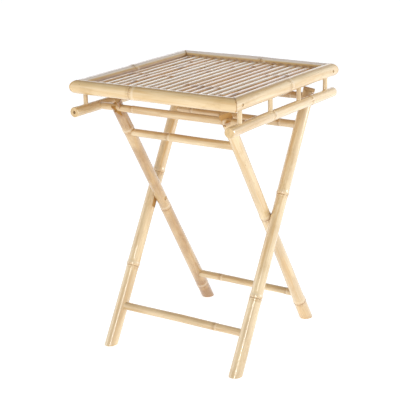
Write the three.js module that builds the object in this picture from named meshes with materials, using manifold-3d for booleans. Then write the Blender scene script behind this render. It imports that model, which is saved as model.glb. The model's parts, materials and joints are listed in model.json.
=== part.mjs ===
// Folding tray table in bamboo: a slatted top on two crossing leg frames.
// Millimetres. X is the width, Y the depth (the pivot bar is at the front, -Y), Z is up from the floor.
import * as THREE from "three";
import Module from "manifold-3d";

const wasm = await Module();
wasm.setup();
const { Manifold } = wasm;

const SIDES = 24;
const PEG_SIDES = 12;
const GAP = 0.3;

// Top frame: four mitred poles.
const POLE_R = 18;
const HALF_W = 232;
const HALF_D = 242.5;
const TOP_Z = 720.5;

// Slats and the battens that carry them.
const SLAT_COUNT = 18;
const SLAT_WIDTH = 20.4;
const SLAT_BOTTOM = TOP_Z + 0.5;
const SLAT_THICK = 6.5;
const SLAT_CROWN = 5;
const BATTEN_R = 8;
const BATTEN_Y = 105;
const BATTEN_SINK = 6;

// Side rails on spindles, and the rear bar between them.
const RAIL_R = 13.5;
const RAIL_Z = 658;
const RAIL_HALF_LENGTH = 267;
const RAIL_PITH_R = 3.5;
const RAIL_PITH_DEPTH = 60;
const SPINDLE_R = 6;
const SPINDLE_Y = [-218, -72.7, 72.7, 218];
const SPINDLE_SINK = 7;
const BAR_R = 9.5;
const TENON_R = 5.5;
const BAR_TENON = 8;
const MITRE_PEG_R = 3;
const MITRE_PEG_Y = 232;
const MITRE_PEG_INNER_X = 196;

// Inner leg frame, pinned to the pivot bar.
const FRONT_BAR_Y = -167.5;
const INNER_X = 167;
const INNER_R = 15.5;
const INNER_FOOT_Y = 240.5;
const INNER_STUB = 25;
const INNER_UPPER_Z = 584;
const INNER_LOWER_Z = 90.5;
const BAR_PEG_R = 2.5;

// Outer leg frame, hooked on the rear bar.
const REAR_BAR_Y = 180.4;
const OUTER_X = 199.5;
const OUTER_R = 16;
const OUTER_FOOT_Y = -198.5;
const OUTER_STUB = 27;
const OUTER_UPPER_Z = 588.6;
const OUTER_LOWER_Z = 95;
const HOOK_CLEARANCE = 0.5;
const HOOK_EXIT = [0.988, -0.156];

const STRETCHER_R = 10.5;
const STRETCHER_TENON_R = 6;
const STRETCHER_TENON_END = 4;
const PIN_R = 5;
const PIN_INSET = 1.2;
const PIN_SEAT_R = 30;
const PIN_SEAT_DEPTH = 1.6;

const materials = {
  pole_bamboo: new THREE.MeshStandardMaterial({ color: 0xe6cf98, roughness: 0.4 }),
  slat_bamboo: new THREE.MeshStandardMaterial({ color: 0xd9c79c, roughness: 0.4 }),
  leg_bamboo: new THREE.MeshStandardMaterial({ color: 0xdfbf85, roughness: 0.35 }),
  bar_bamboo: new THREE.MeshStandardMaterial({ color: 0xd2ad70, roughness: 0.45 }),
  peg_bamboo: new THREE.MeshStandardMaterial({ color: 0xb98a50, roughness: 0.6 }),
};

// A round rod from point a to point b.
function rod(a, b, radius, sides = SIDES) {
  const from = new THREE.Vector3(...a);
  const to = new THREE.Vector3(...b);
  const along = to.clone().sub(from);
  const turn = new THREE.Quaternion().setFromUnitVectors(
    new THREE.Vector3(0, 0, 1),
    along.clone().normalize(),
  );
  const place = new THREE.Matrix4().compose(from, turn, new THREE.Vector3(1, 1, 1));
  return Manifold.cylinder(along.length(), radius, radius, sides).transform(place.elements);
}

// A prism along X, from a list of [y, z] corners in counter-clockwise order seen from +X.
function prismX(corners, x0, x1) {
  const flat = new wasm.CrossSection([corners], "Positive");
  return flat.extrude(x1 - x0).rotate([90, 0, 90]).translate([x0, 0, 0]);
}

// A prism along Z, from a list of [x, y] corners in counter-clockwise order.
function prismZ(corners, z0, z1) {
  const flat = new wasm.CrossSection([corners], "Positive");
  return flat.extrude(z1 - z0).translate([0, 0, z0]);
}

function meshOf(name, solid, slot) {
  const made = solid.getMesh();
  const geometry = new THREE.BufferGeometry();
  geometry.setAttribute("position", new THREE.BufferAttribute(made.vertProperties, 3));
  geometry.setIndex(new THREE.BufferAttribute(made.triVerts, 1));
  const flat = geometry.toNonIndexed();
  flat.computeVertexNormals();
  const mesh = new THREE.Mesh(flat, materials[slot].clone());
  mesh.name = name;
  return mesh;
}

const sides = [
  ["left", -1],
  ["right", 1],
];
const ends = [
  ["front", -1],
  ["back", 1],
];

// ---------- Legs: the line of each leg in the YZ plane ----------

function legLine(topY, footY, stub) {
  const top = new THREE.Vector2(topY, RAIL_Z);
  const up = new THREE.Vector2(topY - footY, RAIL_Z).normalize();
  const end = top.clone().addScaledVector(up, stub);
  const low = top.clone().addScaledVector(up, -(RAIL_Z + 30) / up.y);
  const at = (z) => topY + ((z - RAIL_Z) * up.x) / up.y;
  return { up, end, low, at };
}

const inner = legLine(FRONT_BAR_Y, INNER_FOOT_Y, INNER_STUB);
const outer = legLine(REAR_BAR_Y, OUTER_FOOT_Y, OUTER_STUB);
const innerSlope = inner.up.x / inner.up.y;
const outerSlope = outer.up.x / outer.up.y;
const PIN_Z = RAIL_Z + (REAR_BAR_Y - FRONT_BAR_Y) / (innerSlope - outerSlope);
const PIN_Y = inner.at(PIN_Z);

const aboveFloor = Manifold.cube([1200, 1200, 1200], true).translate([0, 0, 600]);

function legRod(x, line, radius) {
  return rod([x, line.low.x, line.low.y], [x, line.end.x, line.end.y], radius);
}

function legPole(x, line, radius) {
  return legRod(x, line, radius).intersect(aboveFloor);
}

// ---------- Top body ----------

const top = new THREE.Group();
top.name = "top";

const reach = 60;
const sideWedge = (sign) => {
  const inX = sign * (HALF_W - reach) + sign * GAP;
  const outX = sign * (HALF_W + reach) + sign * GAP;
  const inY = HALF_D - reach;
  const outY = HALF_D + reach;
  const corners = [
    [inX, -inY],
    [outX, -outY],
    [outX, outY],
    [inX, inY],
  ];
  return prismZ(sign > 0 ? corners : corners.reverse(), TOP_Z - 30, TOP_Z + 30);
};
const endWedge = (sign) => {
  const inY = sign * (HALF_D - reach);
  const outY = sign * (HALF_D + reach);
  const inX = HALF_W - reach;
  const outX = HALF_W + reach;
  const corners = [
    [-inX, inY],
    [-outX, outY],
    [outX, outY],
    [inX, inY],
  ];
  return prismZ(sign < 0 ? corners : corners.reverse(), TOP_Z - 30, TOP_Z + 30);
};

function mitrePegHole(sx, sy, radius) {
  const y = sy * MITRE_PEG_Y;
  const from = sx * (MITRE_PEG_INNER_X - (radius > MITRE_PEG_R ? GAP : 0));
  const to = sx * (HALF_W + POLE_R - (radius > MITRE_PEG_R ? -2 : 0.4));
  return rod([from, y, TOP_Z], [to, y, TOP_Z], radius, PEG_SIDES);
}

for (const [name, sy] of ends) {
  let pole = rod([-300, sy * HALF_D, TOP_Z], [300, sy * HALF_D, TOP_Z], POLE_R);
  pole = pole.intersect(endWedge(sy));
  for (const [, sx] of sides) {
    pole = pole.subtract(mitrePegHole(sx, sy, MITRE_PEG_R + GAP));
  }
  top.add(meshOf(`frame_pole_${name}`, pole, "pole_bamboo"));
}

for (const [name, sx] of sides) {
  let pole = rod([sx * HALF_W, -320, TOP_Z], [sx * HALF_W, 320, TOP_Z], POLE_R);
  pole = pole.intersect(sideWedge(sx));
  for (const [, sy] of ends) {
    pole = pole.subtract(mitrePegHole(sx, sy, MITRE_PEG_R + GAP));
    const y = sy * BATTEN_Y;
    const z = SLAT_BOTTOM - GAP - BATTEN_R;
    const mouth = sx * (HALF_W - POLE_R - 4);
    const bottom = sx * (HALF_W - POLE_R + BATTEN_SINK + GAP);
    pole = pole.subtract(rod([mouth, y, z], [bottom, y, z], BATTEN_R + GAP));
  }
  for (const y of SPINDLE_Y) {
    const x = sx * HALF_W;
    const bottom = TOP_Z - POLE_R + SPINDLE_SINK + GAP;
    pole = pole.subtract(rod([x, y, TOP_Z - 30], [x, y, bottom], SPINDLE_R + GAP));
  }
  top.add(meshOf(`frame_pole_${name}`, pole, "pole_bamboo"));
}

for (const [endName, sy] of ends) {
  for (const [sideName, sx] of sides) {
    const peg = mitrePegHole(sx, sy, MITRE_PEG_R);
    top.add(meshOf(`mitre_peg_${endName}_${sideName}`, peg, "peg_bamboo"));
  }
}

// A slat is a split of bamboo: flat below, arched above, with a narrow flat crown.
const slatLength = 2 * (HALF_D - POLE_R - GAP);
const half = SLAT_WIDTH / 2;
const slatProfile = [
  [-half, 0],
  [half, 0],
  [half, 2.2],
  [half - 1.9, 4.3],
  [half - 4.6, 5.7],
  [SLAT_CROWN / 2, SLAT_THICK],
  [-SLAT_CROWN / 2, SLAT_THICK],
  [-half + 4.6, 5.7],
  [-half + 1.9, 4.3],
  [-half, 2.2],
];
const slatPitch = (2 * (HALF_W - POLE_R)) / SLAT_COUNT;
for (let i = 0; i < SLAT_COUNT; i++) {
  const x = (i - (SLAT_COUNT - 1) / 2) * slatPitch;
  const slat = new wasm.CrossSection([slatProfile], "Positive")
    .extrude(slatLength)
    .rotate([90, 0, 0])
    .translate([x, slatLength / 2, SLAT_BOTTOM]);
  top.add(meshOf(`slat_${String(i + 1).padStart(2, "0")}`, slat, "slat_bamboo"));
}

for (const [name, sy] of ends) {
  const x = HALF_W - POLE_R + BATTEN_SINK;
  const z = SLAT_BOTTOM - GAP - BATTEN_R;
  const batten = rod([-x, sy * BATTEN_Y, z], [x, sy * BATTEN_Y, z], BATTEN_R);
  top.add(meshOf(`batten_${name}`, batten, "bar_bamboo"));
}

for (const [name, sx] of sides) {
  const x = sx * HALF_W;
  const inside = sx * (HALF_W - RAIL_R + BAR_TENON + GAP);
  const outside = sx * (HALF_W - RAIL_R - 4);
  let rail = rod([x, -RAIL_HALF_LENGTH, RAIL_Z], [x, RAIL_HALF_LENGTH, RAIL_Z], RAIL_R);
  for (const y of SPINDLE_Y) {
    const floor = RAIL_Z + RAIL_R - SPINDLE_SINK - GAP;
    rail = rail.subtract(rod([x, y, floor], [x, y, RAIL_Z + 30], SPINDLE_R + GAP));
  }
  for (const y of [FRONT_BAR_Y, REAR_BAR_Y]) {
    rail = rail.subtract(rod([outside, y, RAIL_Z], [inside, y, RAIL_Z], TENON_R + GAP));
  }
  for (const [, sy] of ends) {
    const mouth = sy * (RAIL_HALF_LENGTH + 4);
    const bottom = sy * (RAIL_HALF_LENGTH - RAIL_PITH_DEPTH);
    rail = rail.subtract(rod([x, mouth, RAIL_Z], [x, bottom, RAIL_Z], RAIL_PITH_R, PEG_SIDES));
  }
  top.add(meshOf(`side_rail_${name}`, rail, "leg_bamboo"));
  SPINDLE_Y.forEach((y, i) => {
    const foot = [x, y, RAIL_Z + RAIL_R - SPINDLE_SINK];
    const head = [x, y, TOP_Z - POLE_R + SPINDLE_SINK];
    const spindle = rod(foot, head, SPINDLE_R, 16);
    top.add(meshOf(`spindle_${name}_${i + 1}`, spindle, "bar_bamboo"));
  });
}

// A bar between the side rails, with a thinner tenon at each end.
function tenonBar(y) {
  const shoulder = HALF_W - RAIL_R - 1;
  const tip = HALF_W - RAIL_R + BAR_TENON;
  const body = rod([-shoulder, y, RAIL_Z], [shoulder, y, RAIL_Z], BAR_R);
  return body.add(rod([-tip, y, RAIL_Z], [tip, y, RAIL_Z], TENON_R));
}

top.add(meshOf("rear_bar", tenonBar(REAR_BAR_Y), "bar_bamboo"));

// ---------- Stretchers: coped against the legs, with a tenon in each ----------

function tenonSocket(sx, legX, y, z) {
  const end = sx * (legX - STRETCHER_TENON_END + GAP);
  return rod([sx * (legX - 40), y, z], [end, y, z], STRETCHER_TENON_R + GAP);
}

function stretcher(legX, line, legRadius, z) {
  const y = line.at(z);
  let body = rod([-legX, y, z], [legX, y, z], STRETCHER_R);
  for (const [, sx] of sides) {
    body = body.subtract(legRod(sx * legX, line, legRadius + GAP));
  }
  const tip = legX - STRETCHER_TENON_END;
  return body.add(rod([-tip, y, z], [tip, y, z], STRETCHER_TENON_R));
}

// ---------- Inner leg frame ----------

const innerFrame = new THREE.Group();
innerFrame.name = "inner_frame";

// Leg direction and the direction across it, towards the front.
const acrossInner = new THREE.Vector2(-inner.up.y, inner.up.x);
function innerPoint(along, across) {
  return [
    FRONT_BAR_Y + inner.up.x * along + acrossInner.x * across,
    RAIL_Z + inner.up.y * along + acrossInner.y * across,
  ];
}

function barPeg(x, radius) {
  const from = innerPoint(0, -(INNER_R - 0.6));
  const to = innerPoint(0, BAR_R - 0.4);
  return rod([x, ...from], [x, ...to], radius, PEG_SIDES);
}

function barPegHole(x) {
  const from = innerPoint(0, -(INNER_R + 4));
  const to = innerPoint(0, INNER_R + 4);
  return rod([x, ...from], [x, ...to], BAR_PEG_R + GAP, PEG_SIDES);
}

for (const [name, sx] of sides) {
  const x = sx * INNER_X;
  let leg = legPole(x, inner, INNER_R);
  leg = leg.subtract(rod([x - 30, FRONT_BAR_Y, RAIL_Z], [x + 30, FRONT_BAR_Y, RAIL_Z], BAR_R + GAP));
  const notch = [innerPoint(0, 0), innerPoint(40, 0), innerPoint(40, 40), innerPoint(0, 40)];
  leg = leg.subtract(prismX(notch, x - 30, x + 30));
  leg = leg.subtract(barPegHole(x));
  leg = leg.subtract(rod([x - 30, PIN_Y, PIN_Z], [x + 30, PIN_Y, PIN_Z], PIN_R + GAP));
  for (const z of [INNER_UPPER_Z, INNER_LOWER_Z]) {
    leg = leg.subtract(tenonSocket(sx, INNER_X, inner.at(z), z));
  }
  innerFrame.add(meshOf(`inner_leg_${name}`, leg, "leg_bamboo"));
}

let pivotBar = tenonBar(FRONT_BAR_Y);
for (const [, sx] of sides) {
  pivotBar = pivotBar.subtract(barPegHole(sx * INNER_X));
}
innerFrame.add(meshOf("pivot_bar", pivotBar, "bar_bamboo"));

for (const [name, sx] of sides) {
  innerFrame.add(meshOf(`bar_peg_${name}`, barPeg(sx * INNER_X, BAR_PEG_R), "peg_bamboo"));
}
for (const [name, z] of [["upper", INNER_UPPER_Z], ["lower", INNER_LOWER_Z]]) {
  const bar = stretcher(INNER_X, inner, INNER_R, z);
  innerFrame.add(meshOf(`inner_stretcher_${name}`, bar, "bar_bamboo"));
}
for (const [name, sx] of sides) {
  const from = sx * (INNER_X - INNER_R + PIN_INSET);
  const to = sx * (OUTER_X + OUTER_R - PIN_INSET);
  const pin = rod([from, PIN_Y, PIN_Z], [to, PIN_Y, PIN_Z], PIN_R, 20);
  innerFrame.add(meshOf(`pivot_pin_${name}`, pin, "peg_bamboo"));
}

// ---------- Outer leg frame ----------

const outerFrame = new THREE.Group();
outerFrame.name = "outer_frame";

// The hook slot, open to the back: level above the rear bar, with a floor that falls a little outwards.
function hookSlot(x) {
  const r = BAR_R + HOOK_CLEARANCE;
  const [ey, ez] = HOOK_EXIT;
  const floor = [REAR_BAR_Y + ez * r, RAIL_Z - ey * r];
  const out = [floor[0] + ey * 60, floor[1] + ez * 60];
  const corners = [
    [REAR_BAR_Y, RAIL_Z + r],
    floor,
    out,
    [out[0], RAIL_Z + r],
  ];
  const seat = rod([x - 30, REAR_BAR_Y, RAIL_Z], [x + 30, REAR_BAR_Y, RAIL_Z], r, 36);
  return prismX(corners, x - 30, x + 30).add(seat);
}

for (const [name, sx] of sides) {
  const x = sx * OUTER_X;
  let leg = legPole(x, outer, OUTER_R);
  leg = leg.subtract(hookSlot(x));
  leg = leg.subtract(rod([x - 30, PIN_Y, PIN_Z], [x + 30, PIN_Y, PIN_Z], PIN_R + GAP));
  const inFace = sx * (OUTER_X - OUTER_R);
  const seatFrom = [inFace - sx * 4, PIN_Y, PIN_Z];
  const seatTo = [inFace + sx * PIN_SEAT_DEPTH, PIN_Y, PIN_Z];
  leg = leg.subtract(rod(seatFrom, seatTo, PIN_SEAT_R, 36));
  for (const z of [OUTER_UPPER_Z, OUTER_LOWER_Z]) {
    leg = leg.subtract(tenonSocket(sx, OUTER_X, outer.at(z), z));
  }
  outerFrame.add(meshOf(`outer_leg_${name}`, leg, "leg_bamboo"));
}
for (const [name, z] of [["upper", OUTER_UPPER_Z], ["lower", OUTER_LOWER_Z]]) {
  const bar = stretcher(OUTER_X, outer, OUTER_R, z);
  outerFrame.add(meshOf(`outer_stretcher_${name}`, bar, "bar_bamboo"));
}

const group = new THREE.Group();
group.name = "folding_tray_table";
group.add(top, innerFrame, outerFrame);

export default group;
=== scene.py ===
"""Folding bamboo tray table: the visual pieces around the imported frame, laid out as an add-on."""

import json
import math
import random

import bmesh
import bpy
from bpy.props import FloatProperty, FloatVectorProperty, IntProperty, PointerProperty
from mathutils import Matrix, Vector, noise


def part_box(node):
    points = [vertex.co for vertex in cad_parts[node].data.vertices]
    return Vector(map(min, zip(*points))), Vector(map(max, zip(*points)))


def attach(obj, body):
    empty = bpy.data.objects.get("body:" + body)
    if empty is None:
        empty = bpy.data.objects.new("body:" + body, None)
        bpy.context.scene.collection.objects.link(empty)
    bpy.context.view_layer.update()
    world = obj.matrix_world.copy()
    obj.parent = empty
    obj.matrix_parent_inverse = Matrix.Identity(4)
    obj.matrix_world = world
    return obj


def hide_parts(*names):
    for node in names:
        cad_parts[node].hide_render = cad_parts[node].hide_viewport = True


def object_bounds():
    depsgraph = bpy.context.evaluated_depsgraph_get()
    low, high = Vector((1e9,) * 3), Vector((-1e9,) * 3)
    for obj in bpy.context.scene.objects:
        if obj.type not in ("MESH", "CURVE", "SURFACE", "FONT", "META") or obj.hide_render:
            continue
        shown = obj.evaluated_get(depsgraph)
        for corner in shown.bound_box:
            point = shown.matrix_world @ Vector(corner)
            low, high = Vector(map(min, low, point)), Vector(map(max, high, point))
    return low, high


bl_info = {
    "name": "Folding Bamboo Tray Table",
    "version": (1, 0, 0),
    "blender": (4, 5, 0),
    "location": "View3D > Sidebar > Tray Table",
    "description": "Builds the bamboo pieces of a folding tray table on its packed frame",
    "category": "Add Mesh",
}

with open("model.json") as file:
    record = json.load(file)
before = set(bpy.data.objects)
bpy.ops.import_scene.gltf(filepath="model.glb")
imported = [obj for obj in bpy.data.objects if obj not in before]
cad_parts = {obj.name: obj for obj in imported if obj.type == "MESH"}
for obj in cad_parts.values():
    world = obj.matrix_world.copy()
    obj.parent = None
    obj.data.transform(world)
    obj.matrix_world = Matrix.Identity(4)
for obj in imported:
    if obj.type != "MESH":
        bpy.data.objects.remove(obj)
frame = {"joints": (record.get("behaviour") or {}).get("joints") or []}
CAD_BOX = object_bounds()

JOINTS = {joint["name"]: joint for joint in frame["joints"]}
PIVOT_BAR_AXIS = Vector(JOINTS["top_fold"]["pos_m"])
CROSSING = Vector(JOINTS["leg_fold"]["pos_m"])
SIDES = (("left", -1), ("right", 1))
ENDS = (("front", -1), ("back", 1))

# Material slots of a piece.
SKIN, CUT, SPLIT, SEAM = 0, 1, 2, 3

SHARP_ANGLE = math.radians(38)
PITH_DEPTH = 0.03
RING_REACH = 0.03
OVERSHOOT = 0.02
HALF_CUT = 0.03
LEG_SIDEWAYS = 0.1
X_AXIS, Z_AXIS = Vector((1, 0, 0)), Vector((0, 0, 1))
ORIGIN = Vector((0, 0, 0))


def middle(node):
    low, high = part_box(node)
    return (low + high) / 2


def span(node):
    low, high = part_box(node)
    return high - low


def across(node, reach):
    """Two points on a node's middle line along X, so far out on each side."""
    centre = middle(node)
    return Vector((-reach, centre.y, centre.z)), Vector((reach, centre.y, centre.z))


def ends_along(node, axis):
    """The two ends of a node's middle line along X, Y or Z, given as 0, 1 or 2."""
    low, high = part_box(node)
    start, end = middle(node), middle(node)
    start[axis], end[axis] = low[axis], high[axis]
    return start, end


# ---------------------------------------------------------------- settings


def length_setting(name, description, default):
    return FloatProperty(
        name=name, description=description, default=default, min=0.0, max=0.1, unit="LENGTH", precision=4
    )


def colour_setting(name, description, default):
    return FloatVectorProperty(
        name=name, description=description, default=default, size=3, min=0.0, max=1.0, subtype="COLOR"
    )


class TraySizes(bpy.types.PropertyGroup):
    pole_diameter: length_setting(
        "Frame pole", "Diameter of the four poles round the top", span("frame_pole_front").z
    )
    rail_diameter: length_setting(
        "Side rail", "Diameter of the two rails under the top", span("side_rail_left").z
    )
    inner_leg_diameter: length_setting(
        "Inner leg", "Diameter of the legs pinned to the pivot bar", span("inner_leg_left").x
    )
    outer_leg_diameter: length_setting(
        "Outer leg", "Diameter of the legs hooked on the rear bar", span("outer_leg_left").x
    )
    bar_diameter: length_setting(
        "Pivot and rear bar", "Diameter of the two bars between the rails", span("rear_bar").z
    )
    stretcher_diameter: length_setting(
        "Stretcher", "Diameter of the bars between the legs", span("inner_stretcher_lower").z
    )
    spindle_diameter: length_setting(
        "Spindle", "Diameter of the dowels between rail and pole", span("spindle_left_1").x
    )
    batten_diameter: length_setting(
        "Batten", "Diameter of the poles under the slats", span("batten_front").z
    )
    slat_wall: length_setting("Slat wall", "Thickness of the split bamboo slats", 0.0038)
    slat_radius: length_setting("Slat arch", "Radius of the arch of a slat's skin", 0.0215)
    ring_height: length_setting("Node ring", "How far a node stands out of its pole", 0.0012)
    waviness: length_setting("Waviness", "How far a pole strays from a straight line", 0.0011)
    seam_chamfer: length_setting("Seam chamfer", "Softening of every sawn edge", 0.0006)
    steps_round: IntProperty(
        name="Steps round", description="Faces round a pole", default=44, min=16, max=96
    )


class TrayColours(bpy.types.PropertyGroup):
    straw: colour_setting("Straw", "Pale lacquered bamboo of the frame poles", (0.79, 0.58, 0.30))
    leg: colour_setting("Leg", "Bamboo of the legs and side rails", (0.74, 0.56, 0.33))
    cream: colour_setting("Cream", "Palest streaks in the bamboo", (0.84, 0.67, 0.41))
    honey: colour_setting("Honey", "Warm streaks in the bamboo", (0.66, 0.41, 0.15))
    amber: colour_setting("Amber", "Orange streaks in the slats", (0.66, 0.30, 0.035))
    tan: colour_setting("Tan", "Older bamboo of the bars", (0.56, 0.33, 0.13))
    ring: colour_setting("Ring", "Brown of the node rings", (0.34, 0.16, 0.05))
    # Waxy bloom above a node, which also serves as a painted highlight on the node's ridge.
    bloom_and_ridge_highlight: colour_setting("Bloom", "Waxy pale band beside a node ring", (0.90, 0.82, 0.64))
    # Pale colour of the painted highlight (reflection) on the upper side of the back and left frame poles.
    crown_light: colour_setting("Highlight", "Highlighted upper side of the frame poles", (1.0, 0.90, 0.83))
    slat: colour_setting("Slat", "Pale skin of the slats", (0.78, 0.63, 0.43))
    split: colour_setting("Split", "Brown split edges of the slats", (0.62, 0.34, 0.10))
    sawn: colour_setting("Sawn end", "Sawn bamboo end", (0.72, 0.52, 0.27))
    peg: colour_setting("Peg", "Dowel ends", (0.58, 0.36, 0.15))
    floor: colour_setting("Floor", "Pale studio floor", (0.72, 0.72, 0.72))


# ---------------------------------------------------------------- shader maths


class Sock:
    """A node's output that takes part in Python arithmetic; each operation adds a Math node."""

    def __init__(self, tree, socket):
        self.tree = tree
        self.socket = socket

    def maths(self, operation, *others, swap=False):
        node = self.tree.nodes.new("ShaderNodeMath")
        node.operation = operation
        values = [self, *others]
        if swap:
            values.reverse()
        for slot, value in zip(node.inputs, values):
            connect(self.tree, value, slot)
        return Sock(self.tree, node.outputs[0])

    def __add__(self, other):
        return self.maths("ADD", other)

    __radd__ = __add__

    def __sub__(self, other):
        return self.maths("SUBTRACT", other)

    def __rsub__(self, other):
        return self.maths("SUBTRACT", other, swap=True)

    def __mul__(self, other):
        return self.maths("MULTIPLY", other)

    __rmul__ = __mul__

    def __abs__(self):
        return self.maths("ABSOLUTE")


def connect(tree, value, slot):
    if isinstance(value, Sock):
        tree.links.new(value.socket, slot)
    else:
        slot.default_value = value


class Sheet:
    """A node tree under construction."""

    def __init__(self, tree):
        self.tree = tree

    def node(self, kind, settings=None, inputs=None, out=0):
        made = self.tree.nodes.new(kind)
        for key, value in (settings or {}).items():
            setattr(made, key, value)
        for key, value in (inputs or {}).items():
            connect(self.tree, value, made.inputs[key])
        return Sock(self.tree, made.outputs[out])

    def attribute(self, name, out="Vector"):
        return self.node("ShaderNodeAttribute", {"attribute_name": name}, out=out)

    def stretched(self, vector, scale):
        return self.node("ShaderNodeVectorMath", {"operation": "MULTIPLY"}, {0: vector, 1: scale})

    def noise(self, vector, scale, detail=2.0, rough=0.5):
        inputs = {"Vector": vector, "Scale": scale, "Detail": detail, "Roughness": rough}
        return self.node("ShaderNodeTexNoise", None, inputs)

    def rise(self, value, low, high):
        inputs = {"Value": value, "From Min": low, "From Max": high}
        return self.node("ShaderNodeMapRange", {"interpolation_type": "SMOOTHSTEP"}, inputs)

    def fall(self, value, low, high):
        return 1.0 - self.rise(value, low, high)

    def mix(self, factor, a, b):
        a = a if isinstance(a, Sock) else (*a, 1.0)
        b = b if isinstance(b, Sock) else (*b, 1.0)
        return self.node("ShaderNodeMix", {"data_type": "RGBA"}, {0: factor, 6: a, 7: b}, out=2)

    def bump(self, height, strength, distance):
        inputs = {"Strength": strength, "Distance": distance, "Height": height}
        return self.node("ShaderNodeBump", None, inputs)


class Finish(Sheet):
    """A node material under construction."""

    def __init__(self, name):
        self.material = bpy.data.materials.new(name)
        self.material.use_nodes = True
        super().__init__(self.material.node_tree)
        self.shader = self.tree.nodes["Principled BSDF"]

    def feed(self, **inputs):
        for key, value in inputs.items():
            connect(self.tree, value, self.shader.inputs[key.replace("_", " ")])
        return self.material


def shade(colour, factor):
    return tuple(min(1.0, channel * factor) for channel in colour)


def culm_skin(name, colours, body, warm, gloss, streaks, edge=0.4, knots=1.0):
    """Lacquered bamboo skin: fibres, streaks, stains, freckles and node rings along the piece's own grain.

    Edge is how warm a tint of 1 is. A tint over 1 goes on to brown, which is a stain in some places and
    painted shade in others, and one under 0 takes on the pale colour of a painted highlight.
    """
    make = Finish(name)
    grain = make.attribute("grain")
    tint = make.attribute("tint", "Fac")
    ring_mm = make.attribute("ring", "Fac") * 1000.0

    fibre = make.noise(make.stretched(grain, (1.0, 1.0, 0.012)), 950.0, 3.0, 0.6)
    strand = make.noise(make.stretched(grain, (1.0, 1.0, 0.03)), 260.0, 2.0, 0.5)
    streak = make.noise(make.stretched(grain, (1.0, 1.0, 0.05)), 95.0, 3.0, 0.55)
    band = make.noise(make.stretched(grain, (1.0, 1.0, 0.16)), 44.0, 2.0, 0.5)
    stain = make.noise(make.stretched(grain, (1.0, 1.0, 0.45)), 30.0, 4.0, 0.65)
    fleck = make.noise(make.stretched(grain, (1.0, 1.0, 0.22)), 330.0, 1.0, 0.5)
    ragged = make.noise(make.stretched(grain, (1.0, 1.0, 0.3)), 120.0, 2.0, 0.5)

    offset = ring_mm + (ragged - 0.5) * 5.0
    near = make.fall(abs(offset - 3.0), 4.0, 22.0)
    below = make.fall(abs(offset + 5.0), 1.5, 8.0)
    above = make.fall(abs(offset - 11.0), 1.0, 6.0)
    line = make.fall(abs(ring_mm + (ragged - 0.5) * 1.6), 0.5, 1.5) * make.rise(ragged, 0.3, 0.5)
    band_of_dots = make.fall(abs(ring_mm - 4.0), 2.0, 5.0)

    colour = make.mix(make.rise(band, 0.36, 0.62), shade(body, 0.93), colours.cream)
    colour = make.mix(make.rise(strand, 0.4, 0.66) * 0.5, colour, body)
    colour = make.mix(make.rise(streak, 0.5, 0.66) * streaks, colour, warm)
    colour = make.mix(make.rise(stain, 0.54, 0.72) * 0.5, colour, shade(warm, 0.8))
    colour = make.mix(make.rise(fibre, 0.48, 0.75) * 0.34, colour, shade(warm, 0.72))
    colour = make.mix(make.rise(tint, 0.0, 1.0) * edge, colour, warm)
    # Tint over 1 browns the skin: real stains, and painted shade where a piece stands in shade.
    browned = make.rise(tint + (stain - 0.5) * 1.2, 1.0, 2.0)
    colour = make.mix(browned * 0.85, colour, shade(colours.ring, 0.9))
    # Tint under 0 paints a highlight: the crown takes the pale colour of a painted reflection.
    colour = make.mix(make.fall(tint, -1.0, 0.0) * 0.85, colour, colours.crown_light)
    specks = make.rise(fleck + near * 0.05 + band_of_dots * 0.12, 0.725, 0.79)
    colour = make.mix(specks * 0.55, colour, colours.ring)
    colour = make.mix(near * 0.35 * knots * make.rise(strand, 0.3, 0.65), colour, warm)
    colour = make.mix(below * 0.5 * knots * make.rise(strand, 0.35, 0.6), colour, shade(warm, 0.75))
    # Pale band above each node: waxy bloom and a painted highlight on the node's ridge.
    colour = make.mix(above * 0.3, colour, colours.bloom_and_ridge_highlight)
    colour = make.mix(line * 0.8, colour, colours.ring)

    rough = gloss + (streak - 0.5) * 0.16 + near * 0.1 + line * 0.25
    height = fibre * 0.5 + strand * 0.35 + line * -0.5
    normal = make.bump(height, 0.2, 0.0003)
    make.shader.inputs["Coat Roughness"].default_value = 0.06
    make.shader.inputs["Coat IOR"].default_value = 1.65
    make.shader.inputs["Coat Weight"].default_value = 1.0
    return make.feed(Base_Color=colour, Roughness=rough, Normal=normal)


def sawn_end(name, tone, dark):
    """End grain of bamboo: fibre bundles as dark dots in a pale ground."""
    make = Finish(name)
    place = make.node("ShaderNodeTexCoord", out="Object")
    bundle = make.node("ShaderNodeTexVoronoi", None, {"Vector": place, "Scale": 950.0}, out="Distance")
    broad = make.noise(place, 90.0, 3.0)
    dots = make.fall(bundle, 0.12, 0.38)
    colour = make.mix(make.rise(broad, 0.35, 0.7) * 0.6, tone, shade(tone, 0.66))
    colour = make.mix(dots * 0.55, colour, dark)
    normal = make.bump(bundle * 0.6 + broad * 0.8, 0.35, 0.0004)
    return make.feed(Base_Color=colour, Roughness=0.62 + broad * 0.2, Normal=normal)


def split_face(name, tone, dark):
    """Raw split bamboo: coarse fibres along the grain, no lacquered skin."""
    make = Finish(name)
    grain = make.attribute("grain")
    fibre = make.noise(make.stretched(grain, (1.0, 1.0, 0.02)), 900.0, 4.0, 0.65)
    band = make.noise(make.stretched(grain, (1.0, 1.0, 0.08)), 160.0, 2.0)
    colour = make.mix(make.rise(band, 0.35, 0.7), tone, dark)
    colour = make.mix(make.rise(fibre, 0.45, 0.75) * 0.5, colour, shade(dark, 0.6))
    normal = make.bump(fibre, 0.4, 0.0004)
    return make.feed(Base_Color=colour, Roughness=0.5 + fibre * 0.2, Normal=normal)


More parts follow.
